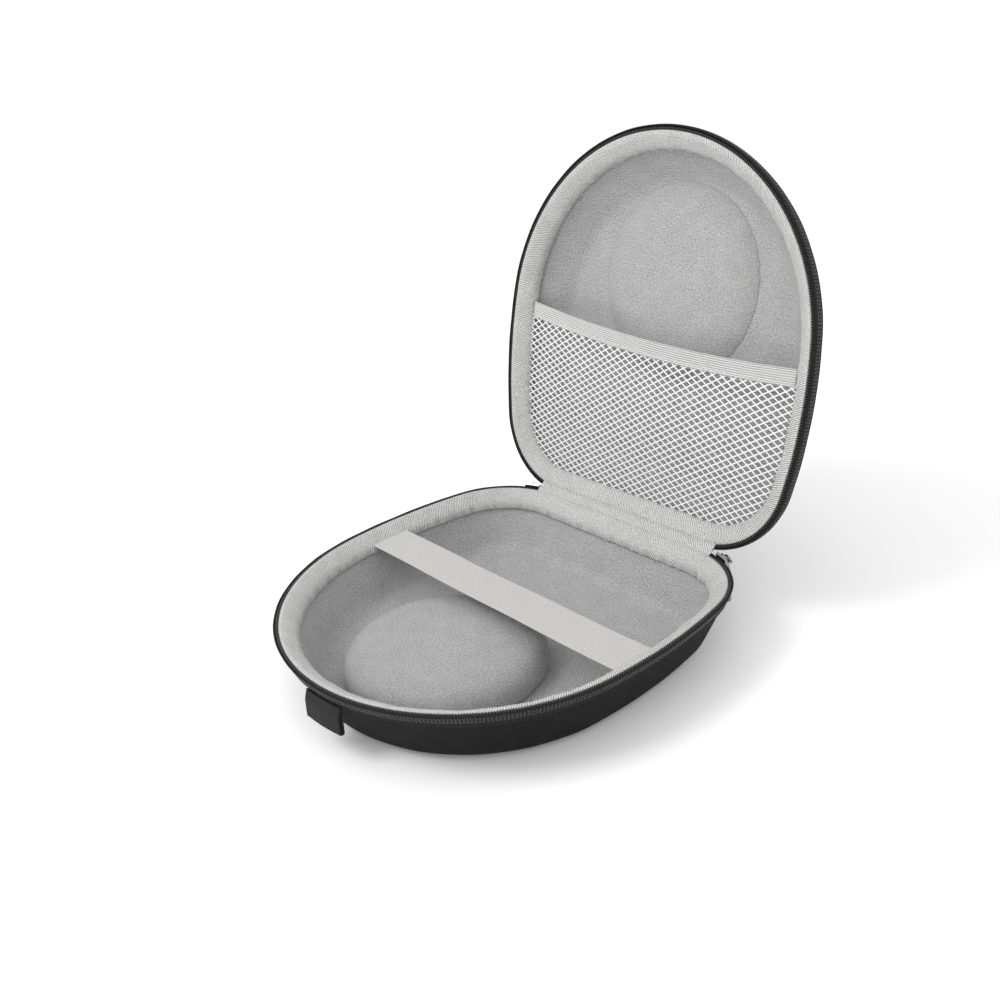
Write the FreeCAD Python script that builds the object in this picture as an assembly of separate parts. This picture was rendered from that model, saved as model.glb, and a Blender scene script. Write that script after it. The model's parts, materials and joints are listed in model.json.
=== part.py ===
"""A moulded zip-round carrying case for headphones, lid open.

Frame: +Z up, +X to the right, +Y towards the hinge. The origin is on the case's plane of symmetry,
on the flat underside of the base, below the centre of the big front arc. All sizes are millimetres.

Both halves share one plan outline, the rim line, made of tangent arcs. A section is drawn in
(inset, height) coordinates: inset is measured inwards from the rim line, and height from the rim
plane. Base sections have negative heights, lid sections are drawn shut, with positive heights.
"""
import FreeCAD, Part

import math
import os

from FreeCAD import Placement, Rotation, Vector

OUT = "parts"

# Plan outline of the rim line
FRONT_R = 104.6        # front arc, centred on the origin's axis
SIDE_R = 270.0         # gently curved sides
CORNER_R = 45.3        # corners beside the hinge
SIDE_START = -5.6      # degrees from +X where the front arc becomes the side arc
CORNER_START = 10.9    # degrees from +X where the side arc becomes the corner arc

# Heights and the hinge
BASE_DEPTH = 38.0      # rim plane to the flat underside
LID_DEPTH = 30.0       # rim plane to the flat top
RIM_GAP = 0.3          # every rim part stops this far short of the rim plane
HINGE_OUT = 3.0        # hinge axis behind the rim line's straight back edge
LID_ANGLE = 102.5      # how far the lid stands open
HINGE_HALF = 62.0      # half the length of the sewn fabric hinge

# Layers of each moulded half, from the outside in
SHELL_OUT = 2.1        # outer face outside the rim line, at the rim plane
COVER_T = 0.7          # woven cover
CORE_T = 3.0           # moulded foam board
LINING_T = 0.7         # knitted lining
WALL_T = COVER_T + CORE_T + LINING_T

# Base wall: a drafted side, a round bottom edge and a flat floor
BASE_DRAFT = 24.4      # degrees from vertical
BASE_FILLET = 13.0

# Lid wall: a short upright stretch, a round shoulder, a sloping side and a round top edge
LID_UPRIGHT = 2.5
LAYER_TOP = LID_UPRIGHT  # the layers of both halves end this far from the rim plane
LID_SHOULDER_R = 14.0
LID_SLOPE = 50.0       # degrees from vertical
LID_TOP_R = 12.0
FLAT_INSET = 30.0      # flat floor and top are plates inside this inset

# Rim band, a padded binding over the inner edge
BAND_WIDTH = 9.4
BAND_DEPTH = 12.0
BAND_TOP = 2.2         # width of its flat top
BAND_BEVEL = 5.6       # height at which its bevel ends

# Zip
TAPE_T = 0.7
TAPE_DEPTH = 8.5
COIL_DEPTH = 2.3
TAPE_END = 82.0        # degrees round the corner arc where the tape ends at the hinge
COIL_END = 78.8
STOP_SPAN = 1.8        # degrees covered by each end stop
PARK = 69.0            # degrees round the corner arc where a slider parks
SLIDER_HALF = 5.5      # degrees covered by half a slider

# Slider, outside the tape
SLIDER_CLEAR = 0.35
SLIDER_T = 1.3
SLIDER_LOW = -4.7
SLIDER_HIGH = 1.7
SLIDER_BEVEL = 1.0     # inner top edge, cut away for the lid's swing
SLIDER_EDGE = 0.4      # outer edges
BRIDGE_OUT = 2.2       # bridge rail's centre from the slider's outer face
BRIDGE_R = 0.6
BRIDGE_Z = -1.0
POST_SPAN = 1.4        # degrees covered by each bridge post
EYE_R = 0.8
PULL_R = 1.75
PULL_EYE_W = 3.0
PULL_W = 7.0
PULL_T = 1.4
PULL_LENGTH = 26.0
PULL_NECK = 3.5        # from the bridge to where the tongue starts to widen
PULL_SHOULDER = 3.0    # length of the widening, and of the rounded end
PULL_WAIST = 0.7       # share of the full width at the shoulder

# Grip tab under the front of the tape
TAB_ANGLE = -85.6      # degrees from +X round the front arc
TAB_W = 26.5
TAB_LENGTH = 14.0
TAB_TOP = 8.9          # below the rim plane
TAB_FACE = 1.6         # outer face outside the rim line, so it hangs from its middle
WEBBING_T = 1.2
TAB_T = 3.2            # two layers of webbing and the gap between them

# Raised round pads
PAD_Y = -27.0
PAD_R = 54.0
BASE_PAD_RISE = 19.0
LID_PAD_RISE = 4.6
PAD_CROWN = 1.8
BASE_PAD_EDGE = 9.0
LID_PAD_EDGE = 2.6

# Elastic strap across the base
STRAP_Y = 11.0
STRAP_W = 25.0
STRAP_T = 1.2
STRAP_DROP = 6.0       # centre of its thickness below the rim plane

# Mesh pocket in the lid
POCKET_DROP = 7.0      # face of the mesh from the rim plane
MESH_T = 0.6
POCKET_ELASTIC_T = 1.2
POCKET_ELASTIC_W = 9.5
POCKET_SIDE_Y = -1.0   # top edge at the sides
POCKET_MID_Y = 7.0     # top edge at the middle
POCKET_CLEAR = 0.3     # from the rim band

# Hinge strips
STRIP_T = 0.7
STRIP_LAP = 5.5        # how far the inner strip lies on each rim band
STRIP_START = 0.2      # the inner strip leaves a rim band this far from its outer edge
STRIP_FOLD = 1.2       # the outer strip leaves each half this far from the rim plane


# ---------------------------------------------------------------- plan outline

def polar(centre, radius, degrees):
    """Point at an angle on a circle in the plan."""
    angle = math.radians(degrees)
    return (centre[0] + radius * math.cos(angle), centre[1] + radius * math.sin(angle))


SIDE_C = polar((0, 0), FRONT_R - SIDE_R, SIDE_START)
CORNER_C = polar(SIDE_C, SIDE_R - CORNER_R, CORNER_START)
BACK_Y = CORNER_C[1] + CORNER_R
HINGE_Y = BACK_Y + HINGE_OUT
RIM_Z = BASE_DEPTH


def mirrored(arc):
    """The same arc on the other side of the plane of symmetry."""
    (x, y), radius, start, end = arc
    return ((-x, y), radius, 180 - end, 180 - start)


def outline_arcs(corner_end=90.0):
    """Arcs of the rim line as (centre, radius, start, end), right corner round to left corner."""
    corner = (CORNER_C, CORNER_R, CORNER_START, corner_end)
    side = (SIDE_C, SIDE_R, SIDE_START, CORNER_START)
    front = ((0, 0), FRONT_R, -180 - SIDE_START, SIDE_START)
    return [corner, side, front, mirrored(side), mirrored(corner)]


def plan_wire(inset, height):
    """Closed outline at an inset from the rim line."""
    edges = []
    for centre, radius, start, end in outline_arcs():
        points = [Vector(*polar(centre, radius - inset, a), height)
                  for a in (start, (start + end) / 2, end)]
        edges.append(Part.Arc(*points).toShape())
    back = BACK_Y - inset
    ends = Vector(CORNER_C[0], back, height), Vector(-CORNER_C[0], back, height)
    edges.append(Part.LineSegment(*ends).toShape())
    return Part.Wire(Part.__sortEdges__(edges))


def plate(inset, low, high):
    """Flat plate with the case's outline, between two heights."""
    return Part.Face(plan_wire(inset, low)).extrude(Vector(0, 0, high - low))


# ---------------------------------------------------------------- sections

def path(start, heading, moves):
    """Edges of a section that starts at a point and turns inwards.

    heading is in degrees from vertical. A move is ("line", length) or ("arc", radius, degrees).
    """
    edges = []
    here = start
    for kind, size, *turn in moves:
        angle = math.radians(heading)
        if kind == "line":
            there = (here[0] + size * math.sin(angle), here[1] + size * math.cos(angle))
            edges.append([here, there])
        else:
            centre = (here[0] + size * math.cos(angle), here[1] - size * math.sin(angle))
            points = [here]
            for part in (0.5, 1.0):
                angle = math.radians(heading + turn[0] * part)
                points.append((centre[0] - size * math.cos(angle), centre[1] + size * math.sin(angle)))
            edges.append(points)
            heading += turn[0]
            there = points[-1]
        here = there
    return edges


def wall(half, depth, top=0.0):
    """Wall of one half at a depth into its layers, from a height below the rim in to the flat.

    Heights are returned as distances from the rim plane.
    """
    if half == "base":
        angle = math.radians(BASE_DRAFT)
        run = (BASE_DEPTH - BASE_FILLET * (1 - math.sin(angle))) / math.cos(angle)
        start = (-SHELL_OUT + depth * math.cos(angle), -depth * math.sin(angle))
        cut = (top - start[1]) / math.cos(angle)
        start = (start[0] + cut * math.sin(angle), top)
        moves = [("line", run - cut), ("arc", BASE_FILLET - depth, 90 - BASE_DRAFT)]
        edges = path(start, BASE_DRAFT, moves)
    else:
        angle = math.radians(LID_SLOPE)
        shoulder = LID_SHOULDER_R * math.sin(angle)
        top_edge = LID_TOP_R * (1 - math.sin(angle))
        slope = (LID_DEPTH - LID_UPRIGHT - shoulder - top_edge) / math.cos(angle)
        moves = [("line", LID_UPRIGHT), ("arc", LID_SHOULDER_R - depth, LID_SLOPE), ("line", slope),
                 ("arc", LID_TOP_R - depth, 90 - LID_SLOPE)]
        edges = path((-SHELL_OUT + depth, 0), 0, moves)
    edges.append([edges[-1][-1], (FLAT_INSET, edges[-1][-1][1])])
    return edges


def closed(edges):
    """Joins a list of section edges end to end into a closed list."""
    chain = []
    for edge in edges:
        if chain and math.dist(chain[-1][-1], edge[0]) > 1e-6:
            chain.append([chain[-1][-1], edge[0]])
        chain.append(edge)
    if math.dist(chain[-1][-1], chain[0][0]) > 1e-6:
        chain.append([chain[-1][-1], chain[0][0]])
    return chain


def polyline(*points):
    """Straight edges through points."""
    return [[a, b] for a, b in zip(points, points[1:])]


def polygon(*points):
    """Section with straight sides."""
    return closed(polyline(*points))


def backwards(edges):
    return [edge[::-1] for edge in edges[::-1]]


def section_face(edges, place):
    """Face of a closed section, with each (inset, height) point put in space by place."""
    shapes = []
    for edge in edges:
        points = [place(*point) for point in edge]
        maker = Part.Arc if len(points) == 3 else Part.LineSegment
        shapes.append(maker(*points).toShape())
    return Part.Face(Part.Wire(Part.__sortEdges__(shapes)))


def turned(edges, arc, sign):
    """Solid made by turning a section about one arc's centre."""
    centre, radius, start, end = arc
    face = section_face(edges, lambda inset, height: Vector(radius - inset, 0, sign * height))
    face.Placement = Placement(Vector(*centre, 0), Rotation(Vector(0, 0, 1), start))
    return face.revolve(Vector(*centre, 0), Vector(0, 0, 1), end - start)


def joined(solids):
    """One clean solid from touching solids."""
    whole = solids[0].multiFuse(solids[1:]) if len(solids) > 1 else solids[0]
    whole = whole.removeSplitter()
    return whole.Solids[0] if len(whole.Solids) == 1 else whole


def ring(edges, sign):
    """A section swept all round the rim line. sign is -1 in the base and 1 in the lid."""
    solids = [turned(edges, arc, sign) for arc in outline_arcs()]
    half = CORNER_C[0]
    face = section_face(edges, lambda inset, height: Vector(-half, BACK_Y - inset, sign * height))
    solids.append(face.extrude(Vector(2 * half, 0, 0)))
    return joined(solids)


def zip_ring(edges, sign, corner_end):
    """A section swept round the rim line from one end of the zip to the other."""
    return joined([turned(edges, arc, sign) for arc in outline_arcs(corner_end)])


# ---------------------------------------------------------------- halves

def layer(half, outer, inner):
    """One layer of a moulded half, between two depths into the wall."""
    sign, depth = (-1, BASE_DEPTH) if half == "base" else (1, LID_DEPTH)
    outside, inside = wall_below_rim(half, outer), wall_below_rim(half, inner)
    rim_part = ring(closed(outside + backwards(inside)), sign)
    heights = sorted((sign * (depth - outer), sign * (depth - inner)))
    return joined([rim_part, plate(FLAT_INSET, *heights)])


def wall_below_rim(half, depth):
    """Wall without its topmost stretch, which the zip and the rim band take up."""
    return wall(half, depth, LAYER_TOP) if half == "base" else wall(half, depth)[1:]


def wall_inset(half, depth, height):
    """Inset of a layer's face at a distance from the rim plane, above the floor's fillet."""
    if half == "base":
        angle = math.radians(BASE_DRAFT)
        return -SHELL_OUT + depth / math.cos(angle) + height * math.tan(angle)
    radius = LID_SHOULDER_R - depth
    climb = max(height - LID_UPRIGHT, 0)
    steepest = radius * math.sin(math.radians(LID_SLOPE))
    if climb > steepest:
        shoulder = radius * (1 - math.cos(math.radians(LID_SLOPE)))
        return -SHELL_OUT + depth + shoulder + (climb - steepest) * math.tan(math.radians(LID_SLOPE))
    return -SHELL_OUT + depth + radius - math.sqrt(radius ** 2 - climb ** 2)


def wall_edges(half, depth, start, end):
    """Edges of a layer's face from one distance from the rim plane to another."""
    arc_end = LID_UPRIGHT + (LID_SHOULDER_R - depth) * math.sin(math.radians(LID_SLOPE))
    breaks = [start, end]
    if half == "lid":
        breaks[1:1] = [height for height in (LID_UPRIGHT, arc_end) if start < height < end]
    edges = []
    for low, high in zip(breaks, breaks[1:]):
        round_part = half == "lid" and LID_UPRIGHT <= low and high <= arc_end
        heights = (low, (low + high) / 2, high) if round_part else (low, high)
        edges.append([(wall_inset(half, depth, height), height) for height in heights])
    return edges


def cavity(half):
    """The space inside the lining, with the rim plane as its top."""
    sign, depth = (-1, BASE_DEPTH) if half == "base" else (1, LID_DEPTH)
    inside = wall(half, WALL_T)
    top = [[(FLAT_INSET, inside[-1][-1][1]), (FLAT_INSET, 0)]]
    heights = sorted((0, sign * (depth - WALL_T)))
    return joined([ring(closed(inside + top), sign), plate(FLAT_INSET, *heights)])


def rim_band(half):
    """Padded binding that covers the top of the wall and hooks down inside it."""
    sign = -1 if half == "base" else 1
    inner_side = polyline((0, LAYER_TOP), (0, RIM_GAP), (BAND_TOP, RIM_GAP), (BAND_WIDTH, BAND_BEVEL),
                          (BAND_WIDTH, BAND_DEPTH))
    lining_side = wall_edges(half, WALL_T, LAYER_TOP, BAND_DEPTH)
    return ring(closed(inner_side + backwards(lining_side)), sign)


def zip_tape(half):
    """Woven tape round the outside of the rim."""
    sign = -1 if half == "base" else 1
    outer = wall_edges(half, -TAPE_T, RIM_GAP, TAPE_DEPTH)
    inner = wall_edges(half, 0, RIM_GAP, TAPE_DEPTH)
    return zip_ring(closed(outer + backwards(inner)), sign, TAPE_END)


def coil_section(half):
    """Section of the teeth, between the tape and the rim band."""
    return closed(wall_edges(half, 0, RIM_GAP, COIL_DEPTH) + polyline((0, COIL_DEPTH), (0, RIM_GAP)))


def zip_coil(half):
    """Row of teeth between the tape and the rim band."""
    return zip_ring(coil_section(half), -1 if half == "base" else 1, COIL_END)


def coil_stop(side):
    """Metal clamp at the end of the base's teeth."""
    arc = (CORNER_C, CORNER_R, COIL_END, COIL_END + STOP_SPAN)
    return turned(coil_section("base"), arc if side == "right" else mirrored(arc), -1)


def round_pad(floor, rise, edge):
    """Raised round pad, its foot at floor and its crown rising by rise."""
    steep = rise - PAD_CROWN - edge
    crown_r = ((PAD_R - edge) ** 2 + PAD_CROWN ** 2) / (2 * PAD_CROWN)
    half_way = (PAD_R - edge) / 2
    crown = crown_r - math.sqrt(crown_r ** 2 - half_way ** 2)
    top = floor + rise
    slant = edge * (1 - math.sqrt(0.5))
    outer = [Part.LineSegment(Vector(0, 0, floor), Vector(PAD_R, 0, floor)),
             Part.LineSegment(Vector(PAD_R, 0, floor), Vector(PAD_R, 0, floor + steep)),
             Part.Arc(Vector(PAD_R, 0, floor + steep),
                      Vector(PAD_R - slant, 0, floor + steep + edge - slant),
                      Vector(PAD_R - edge, 0, top - PAD_CROWN)),
             Part.Arc(Vector(PAD_R - edge, 0, top - PAD_CROWN),
                      Vector(half_way, 0, top - crown),
                      Vector(0, 0, top)),
             Part.LineSegment(Vector(0, 0, top), Vector(0, 0, floor))]
    face = Part.Face(Part.Wire([curve.toShape() for curve in outer]))
    pad = face.revolve(Vector(0, 0, 0), Vector(0, 0, 1), 360)
    pad.translate(Vector(0, PAD_Y, 0))
    return pad


def base_pad():
    pad = round_pad(-(BASE_DEPTH - WALL_T), BASE_PAD_RISE, BASE_PAD_EDGE)
    return joined([pad.common(cavity("base"))])


def lid_pad():
    """Drawn shut, so it hangs from the lid's lining."""
    pad = round_pad(0, LID_PAD_RISE, LID_PAD_EDGE)
    pad.rotate(Vector(0, PAD_Y, 0), Vector(0, 1, 0), 180)
    pad.translate(Vector(0, 0, LID_DEPTH - WALL_T))
    return joined([pad.common(cavity("lid"))])


# ---------------------------------------------------------------- strap and pocket

def half_width(y):
    """Half the rim line's width on the side arc."""
    return SIDE_C[0] + math.sqrt(SIDE_R ** 2 - (y - SIDE_C[1]) ** 2)


def elastic_strap():
    """Flat strap from wall to wall, its ends held behind the rim band."""
    reach = half_width(STRAP_Y)
    strap = Part.makeBox(2 * reach, STRAP_W, STRAP_T,
                         Vector(-reach, STRAP_Y - STRAP_W / 2, -STRAP_DROP - STRAP_T / 2))
    return joined([strap.common(cavity("base"))])


def sag_arc(offset, height):
    """The pocket's top edge, moved towards the hinge by offset."""
    reach = FRONT_R
    ends = POCKET_SIDE_Y + offset
    middle = POCKET_MID_Y + offset
    return Part.Arc(Vector(-reach, ends, height), Vector(0, middle, height),
                    Vector(reach, ends, height)).toShape()


def beyond(offset, low, high):
    """Everything on the hinge's side of the pocket's top edge."""
    edge = sag_arc(offset, low)
    right, left = Vector(FRONT_R, HINGE_Y, low), Vector(-FRONT_R, HINGE_Y, low)
    sides = [Part.LineSegment(edge.Vertexes[-1].Point, right).toShape(),
             Part.LineSegment(right, left).toShape(),
             Part.LineSegment(left, edge.Vertexes[0].Point).toShape()]
    return Part.Face(Part.Wire([edge] + sides)).extrude(Vector(0, 0, high - low))


def pocket_elastic():
    low, high = POCKET_DROP, POCKET_DROP + POCKET_ELASTIC_T
    sheet = plate(BAND_WIDTH + POCKET_CLEAR, low, high)
    return joined([sheet.common(beyond(0, low, high)).cut(beyond(POCKET_ELASTIC_W, low, high))])


def mesh_pocket():
    low = POCKET_DROP + (POCKET_ELASTIC_T - MESH_T) / 2
    sheet = plate(BAND_WIDTH + POCKET_CLEAR, low, low + MESH_T)
    return joined([sheet.common(beyond(POCKET_ELASTIC_W, low, low + MESH_T))])


# ---------------------------------------------------------------- sliders and pulls

TAPE_FACE = SHELL_OUT + TAPE_T
SLIDER_IN = TAPE_FACE + SLIDER_CLEAR
SLIDER_FACE = SLIDER_IN + SLIDER_T
BRIDGE_INSET = -(SLIDER_FACE + BRIDGE_OUT)
BRIDGE_POINT = polar(CORNER_C, CORNER_R - BRIDGE_INSET, PARK)


def slider():
    """Right slider: a plate that follows the corner, with a bridge for its pull."""
    edge = -SLIDER_FACE + SLIDER_EDGE
    plate_section = polygon((-SLIDER_IN, SLIDER_LOW), (-SLIDER_IN, SLIDER_HIGH - SLIDER_BEVEL),
                            (edge, SLIDER_HIGH), (-SLIDER_FACE, SLIDER_HIGH - SLIDER_EDGE),
                            (-SLIDER_FACE, SLIDER_LOW + SLIDER_EDGE), (edge, SLIDER_LOW))
    rail_section = polygon(*[(BRIDGE_INSET + BRIDGE_R * math.cos(math.radians(a)),
                              BRIDGE_Z + BRIDGE_R * math.sin(math.radians(a)))
                             for a in range(0, 360, 45)])
    root = -SLIDER_FACE + SLIDER_T / 2
    tip = BRIDGE_INSET - BRIDGE_R
    low, high = BRIDGE_Z - BRIDGE_R, BRIDGE_Z + BRIDGE_R
    post_section = polygon((root, low), (root, high), (tip, high), (tip, low))
    reach = SLIDER_HALF - POST_SPAN / 2
    pieces = [turned(plate_section, (CORNER_C, CORNER_R, PARK - SLIDER_HALF, PARK + SLIDER_HALF), 1),
              turned(rail_section, (CORNER_C, CORNER_R, PARK - reach, PARK + reach), 1)]
    for middle in (PARK - reach, PARK + reach):
        post = (CORNER_C, CORNER_R, middle - POST_SPAN / 2, middle + POST_SPAN / 2)
        pieces.append(turned(post_section, post, 1))
    return joined(pieces)


def pull_tongue():
    """Flat tongue with a neck, shoulders and a rounded end, in the plane y = 0."""
    neck = BRIDGE_Z - PULL_NECK
    end = BRIDGE_Z - PULL_LENGTH
    right = [Vector(PULL_EYE_W / 2, 0, BRIDGE_Z), Vector(PULL_EYE_W / 2, 0, neck),
             Vector(PULL_W / 2 * PULL_WAIST, 0, neck - PULL_SHOULDER),
             Vector(PULL_W / 2, 0, end + PULL_SHOULDER)]
    left = [Vector(-point.x, 0, point.z) for point in right]
    edges = [Part.LineSegment(left[0], right[0]).toShape()]
    for run in (right, left):
        edges += [Part.LineSegment(a, b).toShape() for a, b in zip(run, run[1:])]
    edges.append(Part.Arc(right[-1], Vector(0, 0, end), left[-1]).toShape())
    tongue = Part.Face(Part.Wire(Part.__sortEdges__(edges))).extrude(Vector(0, PULL_T, 0))
    tongue.translate(Vector(0, -PULL_T / 2, 0))
    return tongue


def slider_pull():
    """Right pull: an eye round the bridge and a flat tongue that hangs from it."""
    across = Vector(1, 0, 0)
    eye = Part.makeCylinder(PULL_R, PULL_EYE_W, Vector(-PULL_EYE_W / 2, 0, BRIDGE_Z), across)
    hole = Part.makeCylinder(EYE_R, PULL_W, Vector(-PULL_W / 2, 0, BRIDGE_Z), across)
    pull = joined([eye, pull_tongue()]).cut(hole)
    pull.rotate(Vector(0, 0, 0), Vector(0, 0, 1), PARK - 90)
    pull.translate(Vector(*BRIDGE_POINT, 0))
    return joined([pull])


# ---------------------------------------------------------------- grip tab and hinge strips

def grip_tab():
    """Webbing folded in two, hanging under the front of the tape."""
    mid = -TAB_FACE + TAB_T / 2
    inner_gap = TAB_T / 2 - WEBBING_T
    bend = TAB_LENGTH - TAB_T / 2
    loops = []
    for reach in (TAB_T / 2, inner_gap):
        top = (mid - reach, TAB_TOP)
        turn = TAB_TOP + bend
        loops.append([[top, (mid - reach, turn)],
                      [(mid - reach, turn), (mid, turn + reach), (mid + reach, turn)],
                      [(mid + reach, turn), (mid + reach, TAB_TOP)]])
    edges = closed(loops[0] + backwards(loops[1]))
    face = section_face(edges, lambda inset, height: Vector(-TAB_W / 2, -FRONT_R + inset, -height))
    tab = face.extrude(Vector(TAB_W, 0, 0))
    header = Part.makeBox(TAB_W, 2 * inner_gap, 2 * WEBBING_T,
                          Vector(-TAB_W / 2, -FRONT_R + mid - inner_gap, -TAB_TOP - 2 * WEBBING_T))
    tab = joined([tab, header])
    tab.rotate(Vector(0, 0, 0), Vector(0, 0, 1), TAB_ANGLE + 90)
    return tab


def lid_place(inset, height):
    """Back of the lid in the open pose: (y, z) of a point drawn shut."""
    angle = math.radians(LID_ANGLE)
    y = -inset - HINGE_OUT
    return (HINGE_Y + y * math.cos(angle) + height * math.sin(angle),
            -y * math.sin(angle) + height * math.cos(angle))


def base_place(inset, height):
    """Back of the base: (y, z) of a point of its section."""
    return (BACK_Y - inset, -height)


def moved(edges, place):
    """Section edges with every point put through place."""
    return [[place(*point) for point in edge] for edge in edges]


def strip(edges, half_length):
    """Fabric strip along the hinge, from a closed list of edges in (y, z)."""
    face = section_face(edges, lambda y, z: Vector(-half_length, y, z))
    return face.extrude(Vector(2 * half_length, 0, 0))


def hinge_cover_strip():
    """Outer strip: down the base's back wall and along the lid's."""
    near = moved(backwards(wall_edges("base", 0, RIM_GAP, TAPE_DEPTH)), base_place)
    near += moved(wall_edges("lid", 0, RIM_GAP, TAPE_DEPTH), lid_place)
    far = moved(backwards(wall_edges("lid", -STRIP_T, STRIP_FOLD, TAPE_DEPTH)), lid_place)
    far += moved(wall_edges("base", -STRIP_T, STRIP_FOLD, TAPE_DEPTH), base_place)
    return strip(closed(near + far), HINGE_HALF)


def hinge_lining_strip():
    """Inner strip: over the straight part of both rim bands and across the gap between them."""
    slope = math.atan2(BAND_BEVEL - RIM_GAP, BAND_WIDTH - BAND_TOP)
    lapped = (STRIP_LAP, RIM_GAP + (STRIP_LAP - BAND_TOP) * math.tan(slope))
    raised = (lapped[0] + STRIP_T * math.sin(slope), lapped[1] - STRIP_T * math.cos(slope))
    under = polyline(lapped, (BAND_TOP, RIM_GAP), (STRIP_START, RIM_GAP))
    over = polyline(raised, (BAND_TOP, RIM_GAP - STRIP_T), (STRIP_START, RIM_GAP - STRIP_T))
    near = moved(under, base_place) + moved(backwards(under), lid_place)
    far = moved(over, lid_place) + moved(backwards(over), base_place)
    return strip(closed(near + far), CORNER_C[0])


# ---------------------------------------------------------------- assembly

def mirror(shape):
    return shape.mirror(Vector(0, 0, 0), Vector(1, 0, 0))


def base_nodes():
    """Everything that stays with the base or rides on it, drawn with the rim plane at height 0."""
    strap = elastic_strap()
    right_slider = slider()
    right_pull = slider_pull()
    return {
        "base_cover": layer("base", 0, COVER_T),
        "base_foam_core": layer("base", COVER_T, COVER_T + CORE_T),
        "base_lining": layer("base", COVER_T + CORE_T, WALL_T),
        "base_round_pad": base_pad(),
        "base_rim_band": joined([rim_band("base").cut(strap)]),
        "base_zip_tape": zip_tape("base"),
        "base_zip_coil": zip_coil("base"),
        "coil_stop_right": coil_stop("right"),
        "coil_stop_left": coil_stop("left"),
        "elastic_strap": strap,
        "hinge_cover_strip": hinge_cover_strip(),
        "hinge_lining_strip": hinge_lining_strip(),
        "slider_right": right_slider,
        "slider_left": mirror(right_slider),
        "slider_pull_right": right_pull,
        "slider_pull_left": mirror(right_pull),
        "grip_tab": grip_tab(),
    }


def lid_nodes():
    """Everything on the lid, drawn shut."""
    return {
        "lid_cover": layer("lid", 0, COVER_T),
        "lid_foam_core": layer("lid", COVER_T, COVER_T + CORE_T),
        "lid_lining": layer("lid", COVER_T + CORE_T, WALL_T),
        "lid_round_pad": lid_pad(),
        "lid_rim_band": rim_band("lid"),
        "lid_zip_tape": zip_tape("lid"),
        "lid_zip_coil": zip_coil("lid"),
        "mesh_pocket": mesh_pocket(),
        "pocket_elastic": pocket_elastic(),
    }


def main():
    os.makedirs(OUT, exist_ok=True)
    nodes = base_nodes()
    for name, shape in lid_nodes().items():
        shape.rotate(Vector(0, HINGE_Y, 0), Vector(1, 0, 0), -LID_ANGLE)
        nodes[name] = shape
    for name, shape in nodes.items():
        shape.translate(Vector(0, 0, RIM_Z))
        box = shape.BoundBox
        print(f"{name:20s} valid {shape.isValid()} solids {len(shape.Solids)} volume {shape.Volume:9.1f} "
              f"x {box.XMin:7.1f} {box.XMax:7.1f} y {box.YMin:7.1f} {box.YMax:7.1f} "
              f"z {box.ZMin:7.1f} {box.ZMax:7.1f}")
        shape.exportStep(os.path.join(OUT, name + ".step"))


main()
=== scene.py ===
import json
import math

import bmesh
import bpy
import numpy as np
from mathutils import Matrix, Vector
from mathutils.bvhtree import BVHTree


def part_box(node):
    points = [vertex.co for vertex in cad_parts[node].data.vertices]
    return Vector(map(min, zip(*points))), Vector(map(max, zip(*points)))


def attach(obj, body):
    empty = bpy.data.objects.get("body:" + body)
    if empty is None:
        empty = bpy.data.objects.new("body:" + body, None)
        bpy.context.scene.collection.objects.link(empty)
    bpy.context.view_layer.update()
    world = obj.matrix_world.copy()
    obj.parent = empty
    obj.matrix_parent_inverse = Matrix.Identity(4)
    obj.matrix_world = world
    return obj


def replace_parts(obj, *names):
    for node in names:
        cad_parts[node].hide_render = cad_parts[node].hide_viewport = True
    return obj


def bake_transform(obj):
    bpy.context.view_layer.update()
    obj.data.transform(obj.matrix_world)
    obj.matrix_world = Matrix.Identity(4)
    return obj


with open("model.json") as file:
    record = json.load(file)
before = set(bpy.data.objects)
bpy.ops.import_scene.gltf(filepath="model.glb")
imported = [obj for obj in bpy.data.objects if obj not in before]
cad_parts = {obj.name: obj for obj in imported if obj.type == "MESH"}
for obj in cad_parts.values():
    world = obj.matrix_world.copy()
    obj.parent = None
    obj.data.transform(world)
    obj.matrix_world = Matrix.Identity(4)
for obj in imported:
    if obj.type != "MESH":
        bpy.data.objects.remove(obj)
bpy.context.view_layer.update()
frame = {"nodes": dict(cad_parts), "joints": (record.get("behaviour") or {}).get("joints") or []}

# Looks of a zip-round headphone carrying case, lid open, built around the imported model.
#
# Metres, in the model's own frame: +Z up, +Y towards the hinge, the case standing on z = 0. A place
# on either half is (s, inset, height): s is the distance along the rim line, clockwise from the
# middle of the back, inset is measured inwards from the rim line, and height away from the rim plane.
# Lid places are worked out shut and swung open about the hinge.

MM = 0.001

# Rim line and hinge, from the frame
JOINTS = {joint["name"]: joint for joint in frame["joints"]}
HINGE_Y, RIM_Z = JOINTS["lid_hinge"]["pos_m"][1:]
OPEN_ANGLE = math.radians(JOINTS["lid_hinge"]["range_deg"][1])
CORNER_C = np.array(JOINTS["slider_right_travel"]["pos_m"][:2])
FRONT_R = -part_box("base_rim_band")[0].y
BACK_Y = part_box("base_rim_band")[1].y
CORNER_R = BACK_Y - CORNER_C[1]
SIDE_R = 270 * MM

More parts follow.
